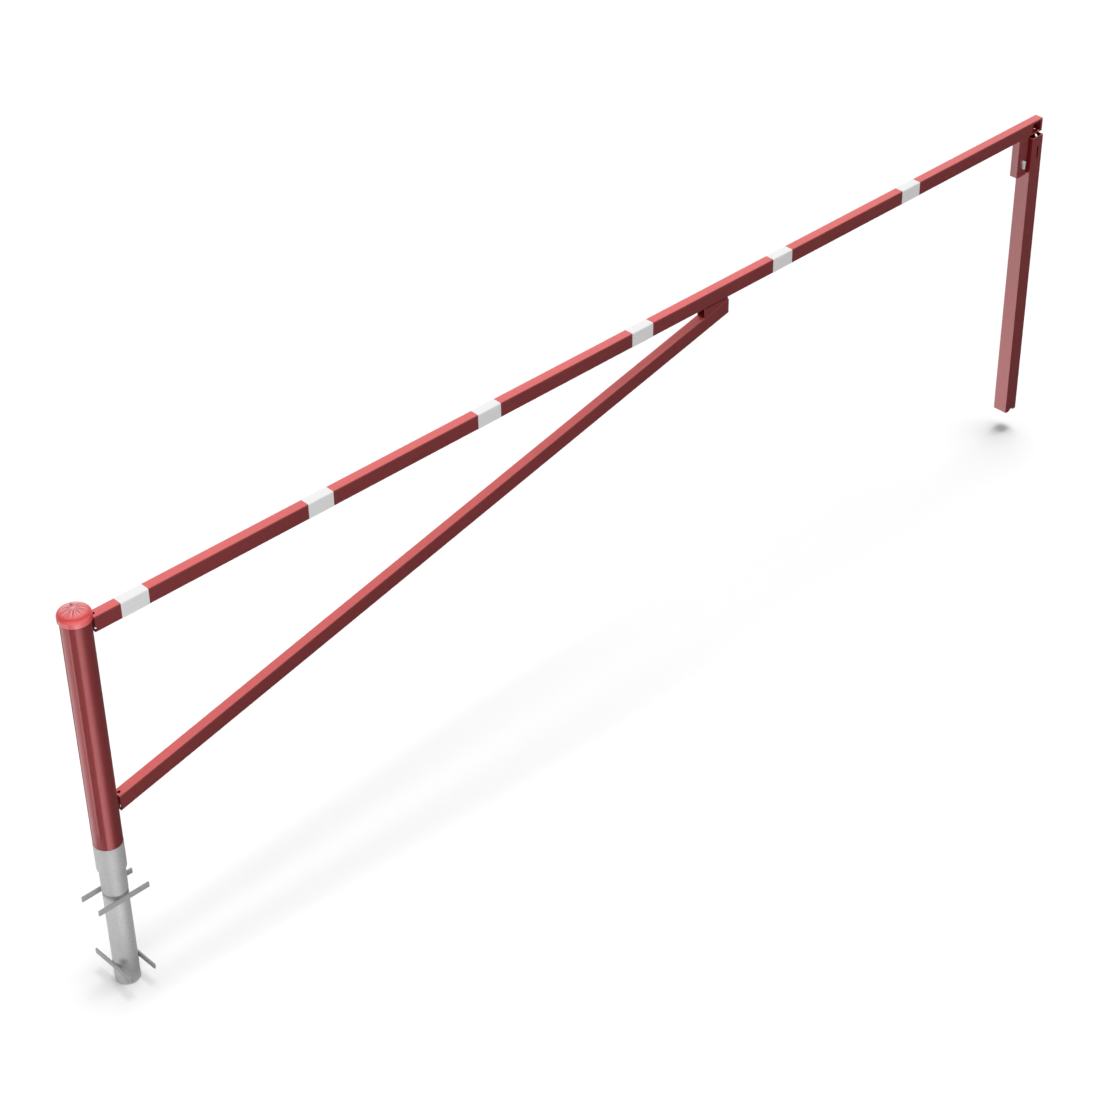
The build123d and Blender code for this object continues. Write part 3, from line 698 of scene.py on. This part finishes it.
def makeWelds():
    weld = {"lug": 0.005, "gusset": 0.0028, "box": 0.003, "anchor": 0.005, "lugSide": 0.0052,
            "lugProud": 0.0012, "lugInset": 0.001, "braceLugCut": 0.014, "boxHalf": 0.017, "boxInset": 0.003,
            "boxSide": 0.0197, "anchorHalf": 0.013, "seamInset": 0.0003, "seamDrop": 0.0002, "smooth": 60}
    onArm, onGround, seams = [], [], []
    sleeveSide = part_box("sleeve")[1][0] + weld["lugProud"]
    for name, cut in (("beam_lug", 0.0), ("brace_lug", weld["braceLugCut"])):
        low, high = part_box(name)
        for across in (-weld["lugSide"], weld["lugSide"]):
            onArm.append(makeBead((sleeveSide, across, low[2] + weld["lugInset"]),
                                  (sleeveSide, across, high[2] - cut - weld["lugInset"]), weld["lug"]))
    beamBottom, seamSide = beamLow[2], beamHigh[1] - weld["seamInset"]
    seamLevel = beamBottom - weld["seamDrop"]
    for across in (-seamSide, seamSide):
        seams.append(makeBead((gussetLow[0], across, seamLevel), (gussetHigh[0], across, seamLevel),
                              weld["gusset"]))
    for end in (boxLow[0], boxHigh[0]):
        onArm.append(makeBead((end, -weld["boxHalf"], beamBottom), (end, weld["boxHalf"], beamBottom),
                              weld["box"]))
    for across in (-weld["boxSide"], weld["boxSide"]):
        onArm.append(makeBead((boxLow[0] + weld["boxInset"], across, beamBottom),
                              (boxHigh[0] - weld["boxInset"], across, beamBottom), weld["box"]))
    half = weld["anchorHalf"]
    for name in ("anchor_upper_front", "anchor_upper_rear", "anchor_lower_left", "anchor_lower_right"):
        low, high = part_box(name)
        for level in (low[2], high[2]):
            if high[0] - low[0] > high[1] - low[1]:
                inner = high[1] if low[1] < 0 else low[1]
                ends = ((-half, inner, level), (half, inner, level))
            else:
                inner = high[0] if low[0] < 0 else low[0]
                ends = ((inner, -half, level), (inner, half, level))
            onGround.append(makeBead(ends[0], ends[1], weld["anchor"]))
    for name, parts, material, body, slot in (("armWelds", onArm, redPaint, "arm", "red_paint"),
                                              ("gussetSeams", seams, seamPaint, "arm", "red_paint"),
                                              ("groundWelds", onGround, barZinc, "ground", "galvanised")):
        whole = joinPieces(name, parts)
        smoothShade(whole, weld["smooth"])
        finishPiece(whole, material, body)
    print("welds ready:", len(onArm), "on the arm,", len(onGround), "on the ground tube")


# Shoulder of the ground tube: the reinforced length under the collar, with its lower rim

def makeTubeShoulder():
    shoulder = {"segments": 160, "proud": 0.0008, "bevel": 0.0004, "sunk": 0.0002, "lap": 0.001,
                "smooth": 30}
    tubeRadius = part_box("ground_tube")[1][0]
    innerRadius, radius = tubeRadius - shoulder["sunk"], tubeRadius + shoulder["proud"]
    bottom, top = rimHeight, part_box("ground_collar")[0][2] + shoulder["lap"]
    clearSelection()
    bpy.ops.mesh.primitive_circle_add(vertices=shoulder["segments"], radius=innerRadius,
                                      location=(0, 0, bottom))
    piece = bpy.context.object
    startEdit(piece)
    bpy.ops.mesh.select_all(action="SELECT")
    extrudeProfile(innerRadius, bottom, ((radius - shoulder["bevel"], bottom),
                                         (radius, bottom + shoulder["bevel"]),
                                         (radius, top), (innerRadius, top)))
    bpy.ops.mesh.select_all(action="SELECT")
    bpy.ops.mesh.normals_make_consistent(inside=False)
    endEdit()
    settle(piece)
    smoothShade(piece, shoulder["smooth"])
    piece.name = "tubeShoulder"
    finishPiece(piece, collarZinc, "ground")
    print("tube shoulder ready")


makeWrinkledCap()
makeWelds()
makeTubeShoulder()


# Camera: an isometric direction, with the frame's middle beside the lens axis as in the photograph

def placeCamera():
    view = {"place": (-3.4204, -5.8096, 6.5942), "tilt": 54.7356, "turn": -45.0,
            "lens": 87.0, "sensor": 36.0, "shiftX": -0.0633, "shiftY": -0.0408, "farEnd": 200.0}
    camera = bpy.data.objects.new("barrierCamera", bpy.data.cameras.new("barrierCamera"))
    camera.location = view["place"]
    camera.rotation_euler = (math.radians(view["tilt"]), 0, math.radians(view["turn"]))
    camera.data.lens = view["lens"]
    camera.data.sensor_width = view["sensor"]
    camera.data.shift_x = view["shiftX"]
    camera.data.shift_y = view["shiftY"]
    camera.data.clip_end = view["farEnd"]
    bpy.context.scene.collection.objects.link(camera)
    bpy.context.scene.camera = camera
    print("camera ready")


# Studio: a pale floor, a soft sun, a fill lamp, and floor cards that only reflections or soft bounce see

def addSun(name, strength, softness, source):
    lamp = bpy.data.objects.new(name, bpy.data.lights.new(name, "SUN"))
    lamp.data.energy = strength
    lamp.data.angle = math.radians(softness)
    lamp.rotation_euler = Vector(source).to_track_quat("Z", "Y").to_euler()
    lamp.visible_glossy = False
    bpy.context.scene.collection.objects.link(lamp)


def makeBackdrop():
    studio = {"floorSize": 120.0, "middle": (2.4, 0, 0), "floorColor": (0.96, 0.96, 0.96, 1),
              "floorRough": 0.9, "floorShine": 0.1, "ambient": 0.38}
    clearSelection()
    bpy.ops.mesh.primitive_plane_add(size=studio["floorSize"], location=studio["middle"])
    floor = bpy.context.object
    floor.name = "paleFloor"
    material, tree, shader = newMaterial("paleFloor")
    shader.inputs["Base Color"].default_value = studio["floorColor"]
    shader.inputs["Roughness"].default_value = studio["floorRough"]
    shader.inputs["Specular IOR Level"].default_value = studio["floorShine"]
    floor.data.materials.append(material)

    world = bpy.data.worlds.new("studio")
    bpy.context.scene.world = world
    world.use_nodes = True
    tree = world.node_tree
    ray = addNode(tree, "ShaderNodeLightPath", (-600, 200))
    seen = addMath(tree, (-400, 200), "MAXIMUM", ray.outputs["Is Camera Ray"], ray.outputs["Is Glossy Ray"])
    seen = addMath(tree, (-200, 200), "MAXIMUM", seen, ray.outputs["Is Transmission Ray"])
    background = tree.nodes["Background"]
    background.inputs["Color"].default_value = (1, 1, 1, 1)
    tree.links.new(addRange(tree, (0, 200), seen, 0.0, 1.0, studio["ambient"], 1.0),
                   background.inputs["Strength"])


def addFloorCard(name, corners, level, beam=None, seenBy="gloss"):
    # four corners (x, y, z) just over the floor: left-near, right-near, left-far, right-far
    # the card is met by mirror-like rays alone, or from above by the soft bounce alone
    # beam is (heading, half spread) in degrees: the card is brightest on that heading from the post
    dimLevel = 0.1
    clearSelection()
    bpy.ops.mesh.primitive_plane_add(size=1)
    card = bpy.context.object
    card.name = name
    for vert, corner in zip(card.data.vertices, corners):
        vert.co = corner
    material, tree, shader = newMaterial(name)
    tree.nodes.remove(shader)
    glow = addNode(tree, "ShaderNodeEmission", (0, 0))
    glow.inputs["Color"].default_value = (1, 1, 1, 1)
    glow.inputs["Strength"].default_value = level
    if beam:
        where = addNode(tree, "ShaderNodeSeparateXYZ", (-900, 0))
        tree.links.new(addObjectPlace(tree, (-1100, 0)), where.inputs[0])
        heading = addMath(tree, (-700, 0), "ARCTAN2", where.outputs["Y"], where.outputs["X"])
        off = addMath(tree, (-500, 0), "SUBTRACT", heading, math.radians(beam[0]))
        spread = addMath(tree, (-350, 0), "ABSOLUTE", off, 0.0)
        fall = addRange(tree, (-200, 0), spread, 0.0, math.radians(beam[1]), level, dimLevel)
        fall.node.interpolation_type = "SMOOTHSTEP"
        tree.links.new(fall, glow.inputs["Strength"])
    surface = tree.nodes["Material Output"].inputs["Surface"]
    if seenBy == "bounce":
        openBelow = addNode(tree, "ShaderNodeMixShader", (200, 0))
        side = addNode(tree, "ShaderNodeNewGeometry", (0, 200))
        clear = addNode(tree, "ShaderNodeBsdfTransparent", (0, -200))
        tree.links.new(side.outputs["Backfacing"], openBelow.inputs[0])
        tree.links.new(glow.outputs[0], openBelow.inputs[1])
        tree.links.new(clear.outputs[0], openBelow.inputs[2])
        tree.links.new(openBelow.outputs[0], surface)
    else:
        tree.links.new(glow.outputs[0], surface)
    card.data.materials.append(material)
    card.visible_camera = False
    card.visible_diffuse = seenBy == "bounce"
    card.visible_glossy = seenBy == "gloss"
    card.visible_shadow = False
    card.visible_transmission = False


def addFlatCard(name, height, plan, level, beam=None, seenBy="gloss"):
    # plan holds the four corners as (x, y)
    addFloorCard(name, [(x, y, height) for x, y in plan], level, beam, seenBy)


def addSectorCard(name, start, stop, level):
    # a slice of the floor round the post between two headings in degrees
    reach = {"near": 0.8, "far": 2.9, "height": 0.014}
    corners = []
    for distance in (reach["near"], reach["far"]):
        for heading in (math.radians(start), math.radians(stop)):
            corners.append((distance * math.cos(heading), distance * math.sin(heading), reach["height"]))
    addFloorCard(name, corners, level)


def addPanelLight(name, place, aim, size, power):
    lamp = bpy.data.objects.new(name, bpy.data.lights.new(name, "AREA"))
    lamp.data.size = size
    lamp.data.energy = power
    lamp.location = place
    lamp.rotation_euler = (Vector(place) - Vector(aim)).to_track_quat("Z", "Y").to_euler()
    lamp.visible_glossy = False
    bpy.context.scene.collection.objects.link(lamp)


placeCamera()
makeBackdrop()
addSun("softKey", strength=2.25, softness=24, source=(0.1, 0.0, 1.0))
addPanelLight("postFill", place=(-2.2, -2.6, 1.2), aim=(0.4, 0, 1.0), size=1.6, power=24)
for name, height, plan, level in (
        ("darkCardFront", 0.010, ((-2.9, -1.6), (8.4, -4.0), (0.0, -0.02), (8.4, -0.02)), 0.1),
        ("darkCardPost", 0.012, ((0.55, -0.1), (2.5, -0.1), (0.55, 1.3), (2.0, 1.3)), 0.1),
        ("whiteCardLock", 0.014, ((1.9, 1.4), (4.3, 0.02), (2.6, 2.4), (5.1, 0.02)), 3.3)):
    addFlatCard(name, height, plan, level)
for name, start, stop, level in (("whiteCardPost", 157, 105, 2.3), ("dimCardPost", 173, 157, 1.8),
                                 ("lineCardPost", 183, 173, 4.2), ("darkCardLine", 207, 183, 0.05),
                                 ("greyCardPost", 105, 50, 0.4)):
    addSectorCard(name, start, stop, level)
addFlatCard("glowCard", 0.016, ((-3.0, -3.6), (1.4, -3.6), (-0.3, -0.3), (0.1, -0.3)), 3.7, beam=(-119, 52))
for name, plan, level in (
        ("bounceCardNear", ((-0.1, -7.0), (1.8, -7.0), (-0.1, -0.06), (1.8, -0.06)), 0.76),
        ("bounceCardLeft", ((-7.0, -7.0), (-0.1, -7.0), (-7.0, 4.0), (-0.1, 4.0)), 0.86),
        ("bounceCardFar", ((1.8, -7.0), (9.0, -7.0), (1.8, -0.06), (9.0, -0.06)), 0.76)):
    addFlatCard(name, 0.020, plan, level, seenBy="bounce")
print("studio ready")

bpy.context.scene.view_settings.view_transform = "Standard"
